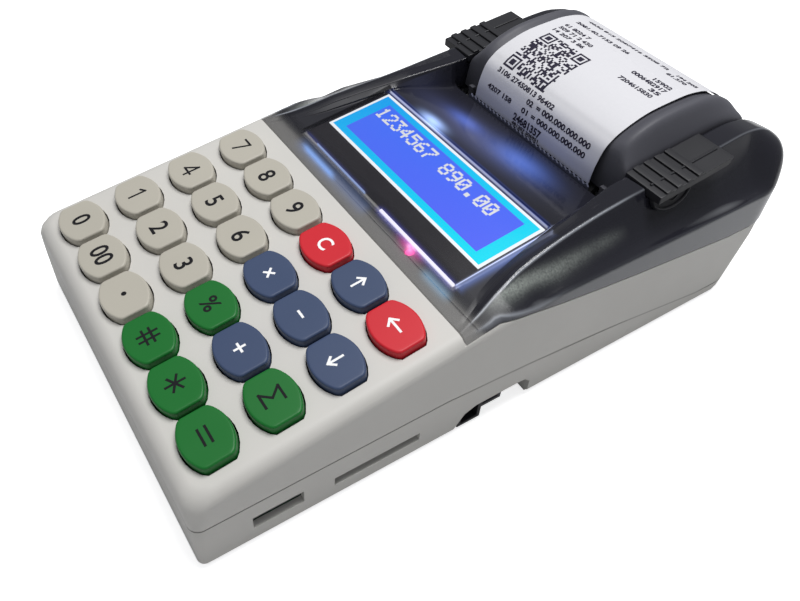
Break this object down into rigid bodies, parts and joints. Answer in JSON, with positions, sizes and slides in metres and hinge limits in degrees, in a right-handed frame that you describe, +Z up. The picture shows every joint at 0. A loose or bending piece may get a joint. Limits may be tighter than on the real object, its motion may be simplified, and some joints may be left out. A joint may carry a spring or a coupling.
{
  "type": "portable ticket register",
  "caption": "Hand-sized receipt till: sloping keypad, lit display under a smoked cover, paper bay with a swing-up lid, gear-driven platen, and sockets in the right side.",
  "frame": {"origin": "on the table, under the middle of the body", "axes": "X to the user's right, Y away from the user, Z up"},
  "size_m": [0.1174, 0.215, 0.0665],
  "materials": {
    "shell_plastic": "fine spark texture, light warm grey",
    "smoked_plastic": "polished, smoked, see-through",
    "lid_plastic": "satin black",
    "grip_plastic": "satin black with ribs",
    "steel": "brushed",
    "dark_plastic": "black, fine texture",
    "lit_glass": "glossy, lit blue from behind",
    "board": "green solder mask",
    "clear_plastic": "clear, lit",
    "lamp_plastic": "clear, lit",
    "silicone": "matt",
    "battery_wrap": "shrunk film",
    "gear_plastic": "natural, slightly glossy",
    "paper": "smooth thermal paper",
    "card": "wound card",
    "key_cream": "satin",
    "key_red": "satin",
    "key_blue": "satin",
    "key_green": "satin"
  },
  "bodies": {
    "till": {"lower_shell": "shell_plastic", "upper_shell": "shell_plastic", "battery_door": "shell_plastic", "display_cover": "smoked_plastic", "hinge_pin": "steel", "lcd_frame": "dark_plastic", "lcd_glass": "lit_glass", "lcd_board": "board", "light_bar": "clear_plastic", "status_led": "lamp_plastic", "keypad_mat": "silicone", "keypad_board": "board", "main_board": "board", "usb_port": "steel", "card_socket": "steel", "power_inlet": "dark_plastic", "data_port": "dark_plastic", "battery_pack": "battery_wrap", "printer_frame": "steel", "feed_motor": "steel", "print_head": "dark_plastic", "head_spring": "steel", "tear_bar": "steel", "paper_tub": "dark_plastic", "paper_web": "paper"},
    "lid": {"paper_lid": "lid_plastic", "lid_grip_left": "grip_plastic", "lid_grip_right": "grip_plastic", "receipt": "paper"},
    "platen": {"platen_roller": "silicone", "platen_shaft": "steel", "platen_gear": "gear_plastic"},
    "idler": {"idler_gear": "gear_plastic"},
    "pinion": {"motor_pinion": "gear_plastic"},
    "roll": {"paper_roll": "paper", "roll_core": "card"},
    "key_0": {"key_0": "key_cream"},
    "key_00": {"key_00": "key_cream"},
    "key_point": {"key_point": "key_cream"},
    "key_hash": {"key_hash": "key_green"},
    "key_star": {"key_star": "key_green"},
    "key_equals": {"key_equals": "key_green"},
    "key_1": {"key_1": "key_cream"},
    "key_2": {"key_2": "key_cream"},
    "key_3": {"key_3": "key_cream"},
    "key_percent": {"key_percent": "key_green"},
    "key_plus": {"key_plus": "key_blue"},
    "key_sum": {"key_sum": "key_green"},
    "key_4": {"key_4": "key_cream"},
    "key_5": {"key_5": "key_cream"},
    "key_6": {"key_6": "key_cream"},
    "key_times": {"key_times": "key_blue"},
    "key_minus": {"key_minus": "key_blue"},
    "key_down": {"key_down": "key_blue"},
    "key_7": {"key_7": "key_cream"},
    "key_8": {"key_8": "key_cream"},
    "key_9": {"key_9": "key_cream"},
    "key_clear": {"key_clear": "key_red"},
    "key_up": {"key_up": "key_blue"},
    "key_back": {"key_back": "key_red"}
  },
  "joints": [
    {"name": "lid_hinge", "type": "hinge", "parent": "till", "child": "lid", "pos_m": [0, 0.101, 0.042], "axis": [-1, 0, 0], "range_deg": [0, 90]},
    {"name": "platen_spin", "type": "hinge", "parent": "lid", "child": "platen", "pos_m": [0, 0.0435, 0.0388], "axis": [1, 0, 0], "continuous": true},
    {"name": "idler_spin", "type": "hinge", "parent": "till", "child": "idler", "pos_m": [0, 0.0435, 0.0262], "axis": [1, 0, 0], "continuous": true},
    {"name": "pinion_spin", "type": "hinge", "parent": "till", "child": "pinion", "pos_m": [0, 0.03335, 0.02251], "axis": [1, 0, 0], "continuous": true},
    {"name": "roll_spin", "type": "hinge", "parent": "till", "child": "roll", "pos_m": [0, 0.0735, 0.0249], "axis": [1, 0, 0], "continuous": true},
    {"name": "key_0_press", "type": "slide", "parent": "till", "child": "key_0", "axis": [0, -0.165, 0.9863], "range_m": [-0.0015, 0], "stiffness_N_per_m": 300, "springref_m": 0.0003},
    {"name": "key_00_press", "type": "slide", "parent": "till", "child": "key_00", "axis": [0, -0.165, 0.9863], "range_m": [-0.0015, 0], "stiffness_N_per_m": 300, "springref_m": 0.0003},
    {"name": "key_point_press", "type": "slide", "parent": "till", "child": "key_point", "axis": [0, -0.165, 0.9863], "range_m": [-0.0015, 0], "stiffness_N_per_m": 300, "springref_m": 0.0003},
    {"name": "key_hash_press", "type": "slide", "parent": "till", "child": "key_hash", "axis": [0, -0.165, 0.9863], "range_m": [-0.0015, 0], "stiffness_N_per_m": 300, "springref_m": 0.0003},
    {"name": "key_star_press", "type": "slide", "parent": "till", "child": "key_star", "axis": [0, -0.165, 0.9863], "range_m": [-0.0015, 0], "stiffness_N_per_m": 300, "springref_m": 0.0003},
    {"name": "key_equals_press", "type": "slide", "parent": "till", "child": "key_equals", "axis": [0, -0.165, 0.9863], "range_m": [-0.0015, 0], "stiffness_N_per_m": 300, "springref_m": 0.0003},
    {"name": "key_1_press", "type": "slide", "parent": "till", "child": "key_1", "axis": [0, -0.165, 0.9863], "range_m": [-0.0015, 0], "stiffness_N_per_m": 300, "springref_m": 0.0003},
    {"name": "key_2_press", "type": "slide", "parent": "till", "child": "key_2", "axis": [0, -0.165, 0.9863], "range_m": [-0.0015, 0], "stiffness_N_per_m": 300, "springref_m": 0.0003},
    {"name": "key_3_press", "type": "slide", "parent": "till", "child": "key_3", "axis": [0, -0.165, 0.9863], "range_m": [-0.0015, 0], "stiffness_N_per_m": 300, "springref_m": 0.0003},
    {"name": "key_percent_press", "type": "slide", "parent": "till", "child": "key_percent", "axis": [0, -0.165, 0.9863], "range_m": [-0.0015, 0], "stiffness_N_per_m": 300, "springref_m": 0.0003},
    {"name": "key_plus_press", "type": "slide", "parent": "till", "child": "key_plus", "axis": [0, -0.165, 0.9863], "range_m": [-0.0015, 0], "stiffness_N_per_m": 300, "springref_m": 0.0003},
    {"name": "key_sum_press", "type": "slide", "parent": "till", "child": "key_sum", "axis": [0, -0.165, 0.9863], "range_m": [-0.0015, 0], "stiffness_N_per_m": 300, "springref_m": 0.0003},
    {"name": "key_4_press", "type": "slide", "parent": "till", "child": "key_4", "axis": [0, -0.165, 0.9863], "range_m": [-0.0015, 0], "stiffness_N_per_m": 300, "springref_m": 0.0003},
    {"name": "key_5_press", "type": "slide", "parent": "till", "child": "key_5", "axis": [0, -0.165, 0.9863], "range_m": [-0.0015, 0], "stiffness_N_per_m": 300, "springref_m": 0.0003},
    {"name": "key_6_press", "type": "slide", "parent": "till", "child": "key_6", "axis": [0, -0.165, 0.9863], "range_m": [-0.0015, 0], "stiffness_N_per_m": 300, "springref_m": 0.0003},
    {"name": "key_times_press", "type": "slide", "parent": "till", "child": "key_times", "axis": [0, -0.165, 0.9863], "range_m": [-0.0015, 0], "stiffness_N_per_m": 300, "springref_m": 0.0003},
    {"name": "key_minus_press", "type": "slide", "parent": "till", "child": "key_minus", "axis": [0, -0.165, 0.9863], "range_m": [-0.0015, 0], "stiffness_N_per_m": 300, "springref_m": 0.0003},
    {"name": "key_down_press", "type": "slide", "parent": "till", "child": "key_down", "axis": [0, -0.165, 0.9863], "range_m": [-0.0015, 0], "stiffness_N_per_m": 300, "springref_m": 0.0003},
    {"name": "key_7_press", "type": "slide", "parent": "till", "child": "key_7", "axis": [0, -0.165, 0.9863], "range_m": [-0.0015, 0], "stiffness_N_per_m": 300, "springref_m": 0.0003},
    {"name": "key_8_press", "type": "slide", "parent": "till", "child": "key_8", "axis": [0, -0.165, 0.9863], "range_m": [-0.0015, 0], "stiffness_N_per_m": 300, "springref_m": 0.0003},
    {"name": "key_9_press", "type": "slide", "parent": "till", "child": "key_9", "axis": [0, -0.165, 0.9863], "range_m": [-0.0015, 0], "stiffness_N_per_m": 300, "springref_m": 0.0003},
    {"name": "key_clear_press", "type": "slide", "parent": "till", "child": "key_clear", "axis": [0, -0.165, 0.9863], "range_m": [-0.0015, 0], "stiffness_N_per_m": 300, "springref_m": 0.0003},
    {"name": "key_up_press", "type": "slide", "parent": "till", "child": "key_up", "axis": [0, -0.165, 0.9863], "range_m": [-0.0015, 0], "stiffness_N_per_m": 300, "springref_m": 0.0003},
    {"name": "key_back_press", "type": "slide", "parent": "till", "child": "key_back", "axis": [0, -0.165, 0.9863], "range_m": [-0.0015, 0], "stiffness_N_per_m": 300, "springref_m": 0.0003}
  ],
  "couplings": [
    {"joint": "idler_spin", "follows": "platen_spin", "ratio": -0.75},
    {"joint": "pinion_spin", "follows": "platen_spin", "ratio": 1.5},
    {"joint": "roll_spin", "follows": "platen_spin", "ratio": -0.225}
  ]
}
